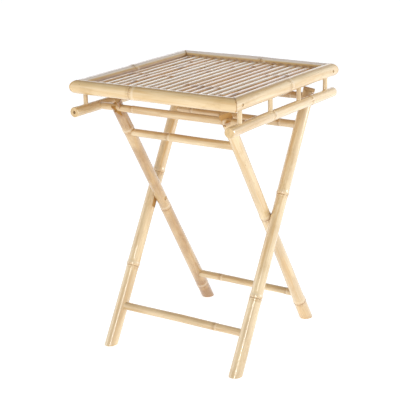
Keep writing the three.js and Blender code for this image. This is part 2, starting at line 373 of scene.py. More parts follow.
def finishes():
    """The table's materials, made once and found by name after that."""
    if "pole skin" in bpy.data.materials:
        return bpy.data.materials
    colours = bpy.context.scene.tray_colours
    culm_skin("pole skin", colours, colours.straw, colours.honey, gloss=0.32, streaks=0.65, edge=0.95)
    culm_skin("leg skin", colours, colours.leg, colours.honey, gloss=0.27, streaks=0.6)
    culm_skin("bar skin", colours, shade(colours.straw, 0.86), colours.tan, gloss=0.34, streaks=0.6)
    culm_skin("slat skin", colours, colours.slat, colours.amber, gloss=0.3, streaks=0.75, edge=0.8, knots=1.9)
    sawn_end("sawn end", colours.sawn, shade(colours.ring, 1.2))
    sawn_end("dowel end", colours.peg, shade(colours.ring, 0.7))
    split_face("split edge", colours.split, shade(colours.split, 0.6))
    split_face("seam", shade(colours.ring, 0.7), shade(colours.ring, 0.4))
    return bpy.data.materials


# ---------------------------------------------------------------- bamboo pieces


def ring_swell(mm):
    """How far a node stands out, as a share of the full ring, so many millimetres along from its scar."""
    swell = math.exp(-(((mm - 7.5) / 5.0) ** 2))
    lip = 0.5 * math.exp(-(((mm + 1.6) / 1.1) ** 2))
    groove = -0.35 * math.exp(-(((mm - 0.4) / 0.9) ** 2))
    return swell + lip + groove


# Profile points about a node, in millimetres from its scar.
RING_STATIONS = (
    -14, -8, -5, -3.6, -2.6, -1.8, -1.2, -0.6, -0.1, 0.4, 0.9,
    1.6, 2.6, 4, 5.5, 7, 8.5, 10, 12, 15, 19, 24,
)


class Culm:
    """One length of bamboo, turned along Z from a profile and then laid between two points.

    Knob scales the node rings and tone is the tint of the skin. Holes and blunt give, for each end, the
    radius of an open hole and of the rounding. The length browned at the far end paints shade where the top
    of a leg stands under the table top, and stained_foot is the length stained at the near end.
    """

    FULL_RING_DIAMETER = 0.028
    FULL_SIZE_DIAMETER = 0.036
    NODE_STEP = 0.00022
    RIM_DEPTH, RIM_TINT = 0.0004, 1.1
    STAIN_TINT, STAIN_SHARE = 2.6, 0.35

    def __init__(
        self, name, start, end, diameter, rings=(), seed=0, steps=None, holes=(0.0, 0.0), knob=1.0,
        tone=None, blunt=(0.0, 0.0), top_shade=0.0, stained_foot=0.0, spacing=0.011,
    ):
        sizes = bpy.context.scene.tray_sizes
        self.name = name
        self.start = Vector(start)
        self.end = Vector(end)
        self.length = (self.end - self.start).length
        self.radius = diameter / 2
        self.rings = sorted(rings)
        self.seed = seed
        self.steps = steps or sizes.steps_round
        self.holes = holes
        self.tone = random.Random(seed).uniform(0.0, 0.6) if tone is None else tone
        self.blunt = blunt
        self.top_shade = top_shade
        self.stained_foot = stained_foot
        self.spacing = spacing
        self.ring_height = sizes.ring_height * min(1.0, diameter / self.FULL_RING_DIAMETER) * knob
        self.ring_scale = max(0.45, min(1.0, diameter / self.FULL_SIZE_DIAMETER))
        self.waviness = sizes.waviness
        # Share of the waviness that goes across, and how much wider the near end is, over what length.
        self.sideways = 1.0
        self.flare = (0.0, 1.0)
        self.chamfer = sizes.seam_chamfer
        self.mesh = bmesh.new()

    def radius_at(self, z):
        """Radius of the skin: the flare, the node rings and a slight step across each of them."""
        flare, flare_length = self.flare
        radius = self.radius
        radius *= 1.0 + flare * max(0.0, 1.0 - z / flare_length)
        for index, ring in enumerate(self.rings):
            mm = (z - ring) * 1000.0 / self.ring_scale
            radius += self.ring_height * ring_swell(mm)
            step = self.NODE_STEP * (1 if (index + self.seed) % 2 else -1)
            radius += step * math.tanh(mm / 3.0)
        return radius

    def stations(self):
        """Places along the piece where the profile has a point: close together at each node."""
        count = max(2, int(self.length / self.spacing))
        edge = self.chamfer
        places = [edge + (self.length - 2 * edge) * i / count for i in range(count + 1)]
        for ring in self.rings:
            around = [ring + mm * self.ring_scale / 1000.0 for mm in RING_STATIONS]
            inside = [z for z in around if edge < z < self.length - edge]
            places = [z for z in places if not (around[0] - 0.002 < z < around[-1] + 0.002)] + inside
        places += [edge, self.length - edge]
        return sorted(set(round(z, 6) for z in places))

    def profile(self):
        """Radius and height of each profile point, from the axis at one end to the axis at the other."""
        low, high = self.holes
        points = [(0.0, PITH_DEPTH), (low, PITH_DEPTH), (low, 0.0)] if low else [(0.0, 0.0)]
        rim = [blunt or self.chamfer for blunt in self.blunt]
        body = [z for z in self.stations() if rim[0] <= z <= self.length - rim[1]]
        points += [self.rim_point(rim[0], turn, 0.0) for turn in (0.0, 0.3, 0.6, 0.85)]
        points += [(self.radius_at(z), z) for z in body]
        points += [self.rim_point(rim[1], turn, self.length) for turn in (0.85, 0.6, 0.3, 0.0)]
        if high:
            bottom = self.length - PITH_DEPTH
            points += [(high, self.length), (high, bottom), (0.0, bottom)]
        else:
            points.append((0.0, self.length))
        return points

    def rim_point(self, blunt, turn, end):
        """A point on the rounding of an end: turn 0 on the sawn face, turn 1 on the skin."""
        angle = turn * math.pi / 2
        inward = blunt * (1.0 - math.sin(angle))
        back = blunt * (1.0 - math.cos(angle))
        return (self.radius_at(end) - inward, back if end == 0.0 else end - back)

    def turn(self):
        """Spins the profile round Z and marks skin, sawn faces and grain."""
        mesh = self.mesh
        verts = [mesh.verts.new((radius, 0.0, z)) for radius, z in self.profile()]
        edges = [mesh.edges.new(pair) for pair in zip(verts, verts[1:])]
        bmesh.ops.spin(
            mesh, geom=verts + edges, cent=(0, 0, 0), axis=(0, 0, 1), dvec=(0, 0, 0), angle=math.tau,
            steps=self.steps, use_merge=True, use_normal_flip=False, use_duplicate=False,
        )
        bmesh.ops.remove_doubles(mesh, verts=mesh.verts, dist=1e-6)
        bmesh.ops.recalc_face_normals(mesh, faces=mesh.faces)
        inner = self.radius * 0.8
        for face in mesh.faces:
            centre = face.calc_center_median()
            face.material_index = CUT if centre.xy.length < inner else SKIN
        self.mark_grain()
        return self

    def mark_grain(self):
        """Writes the grain vector, the distance to the nearest node and the tint on every face corner."""
        layers = self.mesh.loops.layers
        grain = layers.float_vector.new("grain")
        ring = layers.float.new("ring")
        tint = layers.float.new("tint")
        chance = random.Random(self.seed)
        shift = Vector((chance.uniform(-1, 1), chance.uniform(-1, 1), chance.uniform(-1, 1)))
        tone = self.tone
        for face in self.mesh.faces:
            nearest = self.nearest_ring(face.calc_center_median().z)
            for loop in face.loops:
                place = loop.vert.co
                loop[grain] = place + shift
                away = (place.z - nearest) / self.ring_scale
                loop[ring] = max(-RING_REACH, min(RING_REACH, away))
                rim = place.z < self.RIM_DEPTH or place.z > self.length - self.RIM_DEPTH
                loop[tint] = tone + self.shade_and_stain_at(place.z) + (self.RIM_TINT if rim else 0.0)

    def nearest_ring(self, z):
        return min(self.rings, key=lambda ring: abs(z - ring), default=z - 1.0)

    def shade_and_stain_at(self, z):
        """Extra tint, over 1, where an end of the piece is browned: painted shade at the far end and a stain
        at the near end.
        """
        # Painted shade at the far end, then the stain at the foot.
        top = max(0.0, 1.4 * (z - self.length + self.top_shade) / self.top_shade) if self.top_shade else 0.0
        foot = max(0.0, (self.stained_foot - z) / self.stained_foot) if self.stained_foot else 0.0
        return 2.0 * min(1.0, top) + 1.7 * min(1.0, foot)

    def sway(self):
        """Bends the piece a little and makes it slightly out of round, as a grown culm is."""
        chance = random.Random(self.seed + 500)
        phase = [chance.uniform(0, math.tau) for _ in range(4)]
        for vert in self.mesh.verts:
            share = vert.co.z / self.length
            bow = math.sin(math.pi * share)
            snake = math.sin(math.tau * 1.5 * share + phase[0]) * bow
            angle = math.atan2(vert.co.y, vert.co.x)
            oval = 1.0 + 0.012 * math.cos(2 * angle + phase[1] + 2.5 * share)
            oval += 0.006 * math.cos(3 * angle + phase[2])
            aside = bow * math.cos(phase[3]) + 0.4 * snake
            along = self.waviness * bow * math.sin(phase[3])
            vert.co.x = vert.co.x * oval + self.waviness * self.sideways * aside
            vert.co.y = vert.co.y * oval + along - self.waviness * 0.3 * snake
        return self

    def lay(self):
        """Moves the piece from Z to its place between start and end."""
        turn = Z_AXIS.rotation_difference(self.end - self.start).to_matrix().to_4x4()
        bmesh.ops.transform(self.mesh, matrix=Matrix.Translation(self.start) @ turn, verts=self.mesh.verts)
        return self

    def saw(self, point, normal, stain=0.0):
        """Cuts away what lies on the normal's side of a plane, closes the cut and softens its edge.

        A stain browns the skin beside the cut, and is the distance of the slice that bounds it.
        """
        point, normal = Vector(point), Vector(normal)
        if stain:
            self.slice(point - normal * stain, normal, False)
        rim = [item for item in self.slice(point, normal, True) if isinstance(item, bmesh.types.BMEdge)]
        filled = bmesh.ops.edgeloop_fill(self.mesh, edges=rim, mat_nr=CUT)["faces"]
        for face in filled:
            if face.normal.dot(normal) < 0:
                face.normal_flip()
        softened = bmesh.ops.bevel(
            self.mesh, geom=rim, offset=self.chamfer, affect="EDGES", segments=2, profile=0.5,
            material=-1, clamp_overlap=True,
        )
        for face in softened["faces"]:
            face.material_index = SKIN if stain else CUT
        if stain:
            tint = self.mesh.loops.layers.float["tint"]
            for face in self.mesh.faces:
                for loop in face.loops:
                    if (loop.vert.co - point).dot(normal) > -self.STAIN_SHARE * stain:
                        loop[tint] = self.STAIN_TINT
        return self

    def slice(self, point, normal, clear):
        """Splits the mesh along a plane and may clear its outer side; gives what lies on the plane."""
        geometry = self.mesh.verts[:] + self.mesh.edges[:] + self.mesh.faces[:]
        return bmesh.ops.bisect_plane(
            self.mesh, geom=geometry, plane_co=point, plane_no=normal, clear_outer=clear, dist=1e-7
        )["geom_cut"]

    def build(self, skin, body, slot):
        piece = finish_piece(self.name, self.mesh, [skin, "sawn end", "split edge", "seam"])
        place_piece(piece, body, [self.name])
        return piece


def finish_piece(name, mesh, skins):
    """Turns a bmesh into an object at the origin, with its materials and its sharp edges marked."""
    data = bpy.data.meshes.new(name)
    mesh.to_mesh(data)
    mesh.free()
    data.polygons.foreach_set("use_smooth", [True] * len(data.polygons))
    data.set_sharp_from_angle(angle=SHARP_ANGLE)
    for skin in skins:
        data.materials.append(finishes()[skin])
    piece = bpy.data.objects.new(name + "_bamboo", data)
    bpy.context.scene.collection.objects.link(piece)
    return piece


def place_piece(piece, body, nodes):
    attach(piece, body)
    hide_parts(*nodes)


def carve(piece, cutters):
    """Cuts each cutter out of a piece; the faces it leaves take the cutter's material."""
    for index, cutter in enumerate(cutters):
        bmesh.ops.recalc_face_normals(cutter, faces=cutter.faces)
        data = bpy.data.meshes.new("cutter")
        cutter.to_mesh(data)
        cutter.free()
        tool = bpy.data.objects.new("cutter", data)
        bpy.context.scene.collection.objects.link(tool)
        step = piece.modifiers.new(f"cut {index}", "BOOLEAN")
        step.operation = "DIFFERENCE"
        step.solver = "EXACT"
        step.object = tool
        bpy.context.view_layer.update()
        graph = bpy.context.evaluated_depsgraph_get()
        carved = bpy.data.meshes.new_from_object(piece.evaluated_get(graph), depsgraph=graph)
        piece.modifiers.clear()
        old = piece.data
        piece.data = carved
        bpy.data.meshes.remove(old)
        bpy.data.objects.remove(tool)
        bpy.data.meshes.remove(data)
    piece.data.set_sharp_from_angle(angle=SHARP_ANGLE)
    return piece


def drill(start, end, radius, steps=28, material=SPLIT):
    """A round cutter from start to end."""
    start, end = Vector(start), Vector(end)
    mesh = bmesh.new()
    turn = Z_AXIS.rotation_difference(end - start).to_matrix().to_4x4()
    bmesh.ops.create_cone(
        mesh, cap_ends=True, segments=steps, radius1=radius, radius2=radius, depth=(end - start).length,
        matrix=Matrix.Translation((start + end) / 2) @ turn,
    )
    for face in mesh.faces:
        face.material_index = material
    return mesh


def slab(corners, x0, x1):
    """A flat-sided cutter along X, from its outline in the YZ plane."""
    mesh = bmesh.new()
    verts = [mesh.verts.new((x0, y, z)) for y, z in corners]
    face = mesh.faces.new(verts)
    pushed = bmesh.ops.extrude_face_region(mesh, geom=[face])
    moved = [item for item in pushed["geom"] if isinstance(item, bmesh.types.BMVert)]
    bmesh.ops.translate(mesh, vec=(x1 - x0, 0, 0), verts=moved)
    for face in mesh.faces:
        face.material_index = SPLIT
    return mesh


def notch(centre, up, front, climb, lift):
    """A cutter for the open side of a saddle; its floor starts at a lift and climbs along X."""
    behind, ahead, above = -0.001, 0.05, 0.2
    mesh = bmesh.new()
    bmesh.ops.create_cube(mesh, size=1.0)
    aside = up.cross(front)
    for vert in mesh.verts:
        side = HALF_CUT if vert.co.x > 0 else -HALF_CUT
        place = aside * side + front * (behind if vert.co.y < 0 else ahead)
        rise = above if vert.co.z > 0 else place.x * climb + lift
        vert.co = centre + place + up * rise
    bmesh.ops.recalc_face_normals(mesh, faces=mesh.faces)
    for face in mesh.faces:
        face.material_index = SPLIT
    return mesh


# ---------------------------------------------------------------- operators


class TRAY_OT_frame_poles(bpy.types.Operator):
    """Four thick poles, mitred at the corners"""

    bl_idname = "tray.frame_poles"
    bl_label = "Frame Poles"

    # Node rings as shares of the way from the left, or from the front.
    RINGS = {"front": (0.363,), "back": (0.56,), "left": (0.465,), "right": (0.515,)}
    TONES = {"front": 0.3, "back": 0.1, "left": 0.35, "right": 0.15}
    # How far the crown is lightened by a painted highlight, and how far it is darkened by painted shade where
    # the share is under 0.
    CROWN_LIGHT = {"front": -1.0, "back": 0.85, "left": 0.85, "right": -0.8}
    HALF_SEAM, STAIN = 0.0005, 0.0034
    HOLE_CLEARANCE = 0.0009

    def execute(self, context):
        over = context.scene.tray_sizes.pole_diameter
        half_w = middle("frame_pole_right").x
        half_d = middle("frame_pole_back").y
        z = middle("frame_pole_front").z
        for seed, (name, sy) in enumerate(ENDS):
            ends = [Vector((side * (half_w + over), sy * half_d, z)) for side in (-1, 1)]
            mitres = [
                (Vector((sx * half_w, sy * (half_d - self.HALF_SEAM), z)), Vector((sx, -sy, 0)))
                for _, sx in SIDES
            ]
            rings = [over + 2 * half_w * share for share in self.RINGS[name]]
            self.pole(name, ends, over, rings, 11 + seed, mitres, [(sx, sy) for _, sx in SIDES])
        for seed, (name, sx) in enumerate(SIDES):
            ends = [Vector((sx * half_w, side * (half_d + over), z)) for side in (-1, 1)]
            mitres = [
                (Vector((sx * (half_w - self.HALF_SEAM), sy * half_d, z)), Vector((-sx, sy, 0)))
                for _, sy in ENDS
            ]
            rings = [over + 2 * half_d * share for share in self.RINGS[name]]
            self.pole(name, ends, over, rings, 21 + seed, mitres, [(sx, sy) for _, sy in ENDS])
        return {"FINISHED"}

    def pole(self, name, ends, diameter, rings, seed, mitres, corners):
        culm = Culm(
            f"frame_pole_{name}", *ends, diameter, rings, seed, knob=0.22,
            tone=self.TONES[name], spacing=0.005,
        )
        culm.turn().sway().lay()
        self.paint_light_and_shade(culm, self.CROWN_LIGHT[name])
        for corner, normal in mitres:
            culm.saw(corner, normal.normalized(), self.STAIN)
        piece = culm.build("pole skin", "top", "pole_bamboo")
        carve(piece, [self.peg_hole(sx, sy) for sx, sy in corners])

    def paint_light_and_shade(self, culm, crown_light):
        """Paints shade on the side of the pole that meets the slats; on the upper side it paints a highlight
        for a share over 0 and shade for a share under 0.
        """
        inset, corner_zone = 0.006, 0.015
        tint = culm.mesh.loops.layers.float["tint"]
        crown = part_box("slat_01")[1].z
        inside_x = middle("frame_pole_right").x - inset
        inside_y = middle("frame_pole_back").y - inset
        first, pitch = middle("slat_01").x, middle("slat_02").x - middle("slat_01").x
        for face in culm.mesh.faces:
            for loop in face.loops:
                place = loop.vert.co
                above = (place.z - crown) * 1000.0
                outside = abs(place.x) > inside_x + inset or abs(place.y) > inside_y + inset
                # Painted highlight on the upper side, starting lower on the inner side of the pole.
                pale_from = 8.5 if outside else 4.5
                pale = max(0.0, crown_light) * max(0.0, min(1.0, (above - pale_from) / 2.5))
                # Painted shade along the upper side where the share is under 0.
                line = max(0.0, -crown_light) * max(0.0, min(1.0, (above - 8.0) / 2.0))
                # Painted shade on the inner side under the slat crowns, deepest in the gaps between slats
                # where their ends meet the front and back poles.
                if abs(place.x) <= inside_x and abs(place.y) <= inside_y:
                    gap = 0.3
                    if abs(place.y) > inside_y - corner_zone:
                        gap = 0.5 - 0.5 * math.cos(math.tau * (place.x - first) / pitch)
                    line = max(line, min(2.6, 1.2 + 1.6 * gap - above * 0.6), 1.35 - above * 0.1)
                loop[tint] = (loop[tint] + line) * (1.0 - pale) - pale

    def peg_hole(self, sx, sy):
        side = "left" if sx < 0 else "right"
        end = "front" if sy < 0 else "back"
        low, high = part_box(f"mitre_peg_{end}_{side}")
        centre = (low + high) / 2
        inner = Vector((low.x if sx > 0 else high.x, centre.y, centre.z))
        outer = Vector((sx * (CAD_BOX[1].x + 0.01), centre.y, centre.z))
        return drill(inner, outer, (high.z - low.z) / 2 + self.HOLE_CLEARANCE, 20, SEAM)


class TRAY_OT_mitre_pegs(bpy.types.Operator):
    """Dowels that pin the mitred corners"""

    bl_idname = "tray.mitre_pegs"
    bl_label = "Mitre Pegs"

    def execute(self, context):
        for end, _ in ENDS:
            for side, _ in SIDES:
                name = f"mitre_peg_{end}_{side}"
                low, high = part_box(name)
                dowel(name, *ends_along(name, 0), high.z - low.z, "top")
        return {"FINISHED"}


def dowel(name, start, end, diameter, body):
    """A short solid peg with softened ends."""
    mesh = drill(start, end, diameter / 2, 24, SKIN)
    rims = [edge for edge in mesh.edges if len(edge.link_faces) == 2 and edge.calc_face_angle(0) > 1.0]
    bmesh.ops.bevel(
        mesh, geom=rims, offset=diameter * 0.08, affect="EDGES", segments=2, profile=0.5, material=-1
    )
    place_piece(finish_piece(name, mesh, ["dowel end"]), body, [name])


class TRAY_OT_slats(bpy.types.Operator):
    """Split bamboo slats, arched and hollow underneath, lying front to back"""

    bl_idname = "tray.slats"
    bl_label = "Slats"

    # Node places of each slat, in millimetres from the middle towards the back.
    NODES = (
        (-55, 205), (-56,), (-58, 150), (-144, 71), (-50,), (-52, 188), (55,), (-196, 58), (140,), (-117,),
        (-114, 165), (-121,), (-119, 186), (-120,), (80,), (84, -190), (-150, 96), (-20, 178),
    )

    RING_SHARE = 0.22
    SHORTENING = 0.0012
    STEPS = 14

    def execute(self, context):
        for index, places in enumerate(self.NODES):
            self.slat(f"slat_{index + 1:02d}", places, context.scene.tray_sizes, index)
        return {"FINISHED"}

    def slat(self, name, places, sizes, index):
        low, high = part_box(name)
        chance = random.Random(300 + index)
        half_width = (high.x - low.x) / 2 * chance.uniform(0.95, 1.02)
        radius = sizes.slat_radius * chance.uniform(0.95, 1.08)
        half_angle = math.asin(min(0.98, half_width / radius))
        start = Vector(((low.x + high.x) / 2, low.y + chance.uniform(0, self.SHORTENING), high.z - radius))
        end = Vector((start.x, high.y - chance.uniform(0, self.SHORTENING), start.z))
        rings = [place / 1000.0 - start.y for place in places]
        culm = Culm(name, start, end, radius * 2, rings, 300 + index)
        culm.ring_height = sizes.ring_height * self.RING_SHARE
        mesh = culm.mesh
        points = [(culm.radius_at(z), z) for z in [0.0, *culm.stations(), culm.length]]
        verts = [mesh.verts.new((r, 0.0, z)) for r, z in points]
        edges = [mesh.edges.new(pair) for pair in zip(verts, verts[1:])]
        bmesh.ops.rotate(mesh, cent=(0, 0, 0), matrix=Matrix.Rotation(-half_angle, 3, "Z"), verts=verts)
        bmesh.ops.spin(
            mesh, geom=verts + edges, cent=(0, 0, 0), axis=(0, 0, 1), dvec=(0, 0, 0), angle=2 * half_angle,
            steps=self.STEPS, use_merge=False, use_normal_flip=False, use_duplicate=False,
        )
        bmesh.ops.remove_doubles(mesh, verts=mesh.verts, dist=1e-6)
        bmesh.ops.recalc_face_normals(mesh, faces=mesh.faces)
        outward = sum(face.normal.dot(face.calc_center_median().xy.to_3d()) for face in mesh.faces)
        if outward < 0:
            bmesh.ops.reverse_faces(mesh, faces=mesh.faces)
        bmesh.ops.solidify(mesh, geom=mesh.faces[:], thickness=sizes.slat_wall)
        for face in mesh.faces:
            centre = face.calc_center_median()
            outside = centre.xy.length > radius - sizes.slat_wall * 0.3
            along_axis = abs(face.normal.z) > 0.7
            face.material_index = CUT if along_axis else (SKIN if outside else SPLIT)
        culm.mark_grain()
        self.mark_flanks(mesh, half_angle, chance.uniform(-0.25, 0.95), rings)
        wobble = chance.uniform(-0.00035, 0.00035)
        roll = chance.uniform(-0.05, 0.05)
        for vert in mesh.verts:
            share = vert.co.z / culm.length
            vert.co.y += wobble * math.sin(math.pi * share * 2)
            vert.co.x += 0.0003 * noise.noise(Vector((share * 3, index, 0)))
        bmesh.ops.rotate(mesh, cent=(radius, 0, 0), matrix=Matrix.Rotation(roll, 3, "Z"), verts=mesh.verts)
        stand = Matrix(((0, 1, 0, start.x), (0, 0, 1, start.y), (1, 0, 0, start.z), (0, 0, 0, 1)))
        bmesh.ops.transform(mesh, matrix=stand, verts=mesh.verts)
        piece = finish_piece(name, mesh, ["slat skin", "sawn end", "split edge"])
        place_piece(piece, "top", [name])

    def mark_flanks(self, mesh, half_angle, tone, rings):
        """Tints the skin from the crown of the arch down to its two edges, and beside each node."""
        tint = mesh.loops.layers.float["tint"]
        for face in mesh.faces:
            for loop in face.loops:
                angle = abs(math.atan2(loop.vert.co.y, loop.vert.co.x)) / half_angle
                flank = max(0.0, min(1.0, tone + (angle - 0.3) * 0.95))
                knot = max(math.exp(-(((loop.vert.co.z - ring + 0.007) / 0.011) ** 2)) for ring in rings)
                loop[tint] = flank + knot * (1.2 + abs(tone) * 1.8)


class TRAY_OT_battens(bpy.types.Operator):
    """Thin poles that carry the slats"""

    bl_idname = "tray.battens"
    bl_label = "Battens"

    def execute(self, context):
        diameter = context.scene.tray_sizes.batten_diameter
        for seed, (name, _) in enumerate(ENDS):
            node = f"batten_{name}"
            culm = Culm(node, *ends_along(node, 0), diameter, (0.12, 0.34), 41 + seed, steps=28)
            culm.waviness *= 0.2
            culm.ring_height *= 0.3
            culm.turn().sway().lay().build("bar skin", "top", "bar_bamboo")
        return {"FINISHED"}


class TRAY_OT_side_rails(bpy.types.Operator):
    """Two rails under the side poles, the left one with open ends"""

    bl_idname = "tray.side_rails"
    bl_label = "Side Rails"

    RINGS = {"left": (0.62,), "right": (0.37, 0.74)}
    HOLES = {"left": (0.0042, 0.0034), "right": (0.0, 0.0)}
    BLUNT = {"left": (0.0016, 0.002), "right": (0.0022, 0.006)}

    def execute(self, context):
        diameter = context.scene.tray_sizes.rail_diameter
        for seed, (name, _) in enumerate(SIDES):
            node = f"side_rail_{name}"
            start, end = ends_along(node, 1)
            rings = [(end.y - start.y) * share for share in self.RINGS[name]]
            culm = Culm(
                node, start, end, diameter, rings, 51 + seed, holes=self.HOLES[name], knob=0.5,
                tone=0.3, blunt=self.BLUNT[name],
            )
            culm.turn().sway().lay().build("leg skin", "top", "leg_bamboo")
        return {"FINISHED"}


class TRAY_OT_spindles(bpy.types.Operator):
    """Eight dowels between the side rails and the side poles"""

    bl_idname = "tray.spindles"
    bl_label = "Spindles"

    def execute(self, context):
        diameter = context.scene.tray_sizes.spindle_diameter
        for side, sx in SIDES:
            for number in range(1, 5):
                node = f"spindle_{side}_{number}"
                culm = Culm(node, *ends_along(node, 2), diameter, (), 61 + number + 10 * sx, steps=24)
                culm.waviness *= 0.15
                culm.turn().sway().lay().build("bar skin", "top", "bar_bamboo")
        return {"FINISHED"}


class TRAY_OT_bars(bpy.types.Operator):
    """The rear bar under the top, and the pivot bar that the inner legs are pegged to"""

    bl_idname = "tray.bars"
    bl_label = "Rear Bar and Pivot Bar"

    def execute(self, context):
        sizes = context.scene.tray_sizes
        inset = sizes.rail_diameter * 0.16
        reach = abs(middle("side_rail_right").x) - sizes.rail_diameter / 2 + inset
        for node, body, shares, seed, tone in (
            # The rear bar's tone over 1 browns it as painted shade under the table top.
            ("rear_bar", "top", (0.24, 0.83), 71, 1.3),
            ("pivot_bar", "inner_frame", (0.228, 0.845), 73, 0.5),
        ):
            rings = [2 * reach * share for share in shares]
            culm = Culm(
                node, *across(node, reach), sizes.bar_diameter, rings, seed, steps=36, knob=0.6, tone=tone
            )
            culm.waviness *= 0.4
            piece = culm.turn().sway().lay().build("bar skin", body, "bar_bamboo")
            if node == "pivot_bar":
                carve(piece, [self.peg_hole(side) for side, _ in SIDES])
        return {"FINISHED"}

    def peg_hole(self, side):
        return bar_peg_drill(side, 0.0005, SEAM)


def bar_peg(side):
    """Ends and radius of the peg through an inner leg and the pivot bar."""
    share = 0.86
    node = f"bar_peg_{side}"
    centre, size = middle(node), span(node)
    half = (PIVOT_BAR_AXIS - CROSSING).normalized().cross(X_AXIS) * size.yz.length / 2
    return centre - half * share, centre + half * share, size.x / 2


def bar_peg_drill(side, clearance, material):
    start, end, radius = bar_peg(side)
    reach = (end - start).normalized() * OVERSHOOT
    return drill(start - reach, end + reach, radius + clearance, 18, material)


def pin_radius():
    """Radius of the holes for the pins at the crossing."""
    return span("pivot_pin_left").z / 2 + 0.0004


class TRAY_OT_inner_legs(bpy.types.Operator):
    """Inner legs, cradling the pivot bar at the top and cut flat at the foot"""

    bl_idname = "tray.inner_legs"
    bl_label = "Inner Legs"

    RINGS = {"left": (0.13, 0.496, 0.91), "right": (0.453, 0.886)}
    KNOBS = {"left": 0.7, "right": 1.0}
    TONES = {"left": 1.5, "right": 0.15}
    ABOVE_BAR = 0.025

    def execute(self, context):
        diameter = context.scene.tray_sizes.inner_leg_diameter
        up = (PIVOT_BAR_AXIS - CROSSING).normalized()
        for seed, (side, _) in enumerate(SIDES):
            node = f"inner_leg_{side}"
            x = middle(node).x
            top = Vector((x, PIVOT_BAR_AXIS.y, PIVOT_BAR_AXIS.z)) + up * self.ABOVE_BAR
            foot = top - up * (top.z / up.z + OVERSHOOT)
            length = (top - foot).length
            rings = [length * (1 - share) for share in self.RINGS[side]]
            # The top 48 mm of each leg is browned as painted shade under the table top; the foot is stained.
            culm = Culm(
                node, foot, top, diameter, rings, 81 + seed, knob=self.KNOBS[side],
                tone=self.TONES[side], top_shade=0.048, stained_foot=0.11,
            )
            culm.sideways = LEG_SIDEWAYS
            culm.flare = (0.16, 0.4)
            culm.turn().sway().lay().saw(ORIGIN, -Z_AXIS)
            piece = culm.build("leg skin", "inner_frame", "leg_bamboo")
            carve(piece, self.cuts(side, x, up, context.scene.tray_sizes))
        return {"FINISHED"}

    def cuts(self, side, x, up, sizes):
        """The bar's hole, the notch that opens it to the front and outside, the peg's hole and the pin's."""
        outward = -1 if side == "left" else 1
        bar = Vector((x, PIVOT_BAR_AXIS.y, PIVOT_BAR_AXIS.z))
        wide = X_AXIS * HALF_CUT
        front = Matrix.Rotation(outward * math.radians(40), 3, up) @ Vector((0, -up.z, up.y))
        pin = Vector((x, CROSSING.y, CROSSING.z))
        return [
            drill(bar - wide, bar + wide, sizes.bar_diameter / 2 + 0.0002, 40),
            notch(bar, up, front, outward * 2.0, 0.0045),
            notch(bar, up, front, 0.0, 0.0088),
            bar_peg_drill(side, 0.0003, SPLIT),
            drill(pin - wide, pin + wide, pin_radius()),
        ]


class TRAY_OT_outer_legs(bpy.types.Operator):
    """Outer legs, hooked over the rear bar and cut flat at the foot"""

    bl_idname = "tray.outer_legs"
    bl_label = "Outer Legs"

    RINGS = {"left": (0.364, 0.7), "right": (0.374, 0.722)}
    TONES = {"left": 0.3, "right": 0.0}
    ABOVE_BAR = 0.027
    PRONG_DROP = 0.0065

    def execute(self, context):
        sizes = context.scene.tray_sizes
        bar = middle("rear_bar")
        up = (Vector((0, bar.y, bar.z)) - CROSSING).normalized()
        for seed, (side, sx) in enumerate(SIDES):
            node = f"outer_leg_{side}"
            x = middle(node).x
            top = Vector((x, bar.y, bar.z)) + up * self.ABOVE_BAR
            foot = top - up * (top.z / up.z + OVERSHOOT)
            length = (top - foot).length
            rings = [length * (1 - share) for share in self.RINGS[side]]
            culm = Culm(
                node, foot, top, sizes.outer_leg_diameter, rings, 91 + seed, knob=1.1, tone=self.TONES[side]
            )
            culm.sideways = LEG_SIDEWAYS
            culm.flare = (0.1, 0.4)
            culm.turn().sway().lay().saw(ORIGIN, -Z_AXIS)
            culm.saw(top - up * self.PRONG_DROP, Vector((0.3 * sx, -0.1, 0.95)).normalized())
            piece = culm.build("leg skin", "outer_frame", "leg_bamboo")
            carve(piece, self.cuts(x, sx, bar, sizes))
        return {"FINISHED"}

    def cuts(self, x, sx, bar, sizes):
        """The hook for the rear bar, the pin's blind hole and the flat seat round it."""
        radius = sizes.bar_diameter / 2 + 0.0006
        wide = X_AXIS * HALF_CUT
        centre = Vector((x, bar.y, bar.z))
        back = 0.06
        hook = [
            (bar.y, bar.z + radius),
            (bar.y - 0.156 * radius, bar.z - 0.988 * radius),
            (bar.y + back, bar.z - 0.988 * radius - 0.158 * back),
            (bar.y + back, bar.z + radius),
        ]
        pin = Vector((x, CROSSING.y, CROSSING.z))
        inner_face = x - sx * sizes.outer_leg_diameter / 2
        seat = Vector((inner_face, CROSSING.y, CROSSING.z))
        return [
            drill(centre - wide, centre + wide, radius, 40),
            slab(hook, x - HALF_CUT, x + HALF_CUT),
            drill(seat, pin + Vector((sx * 0.0105, 0, 0)), pin_radius()),
            drill(seat - Vector((sx * 0.004, 0, 0)), seat + Vector((sx * 0.0016, 0, 0)), HALF_CUT, 48),
        ]


class TRAY_OT_stretchers(bpy.types.Operator):
    """Upper and lower bars between the legs of each frame"""

    bl_idname = "tray.stretchers"
    bl_label = "Stretchers"

    RINGS = {
        "inner_upper": (0.362,),
        "inner_lower": (0.236, 0.93),
        "outer_upper": (0.12, 0.862),
        "outer_lower": (0.774,),
    }
    LET_IN = 0.0055

    def execute(self, context):
        sizes = context.scene.tray_sizes
        for seed, (key, rings) in enumerate(self.RINGS.items()):
            frame_name, level = key.split("_")
            node = f"{frame_name}_stretcher_{level}"
            leg = f"{frame_name}_leg_right"
            reach = middle(leg).x - span(leg).x / 2 + self.LET_IN
            places = [2 * reach * share for share in rings]
            culm = Culm(
                node, *across(node, reach), sizes.stretcher_diameter, places, 101 + seed, steps=36, knob=0.6
            )
            culm.waviness *= 0.5
            culm.turn().sway().lay().build("bar skin", f"{frame_name}_frame", "bar_bamboo")
        return {"FINISHED"}


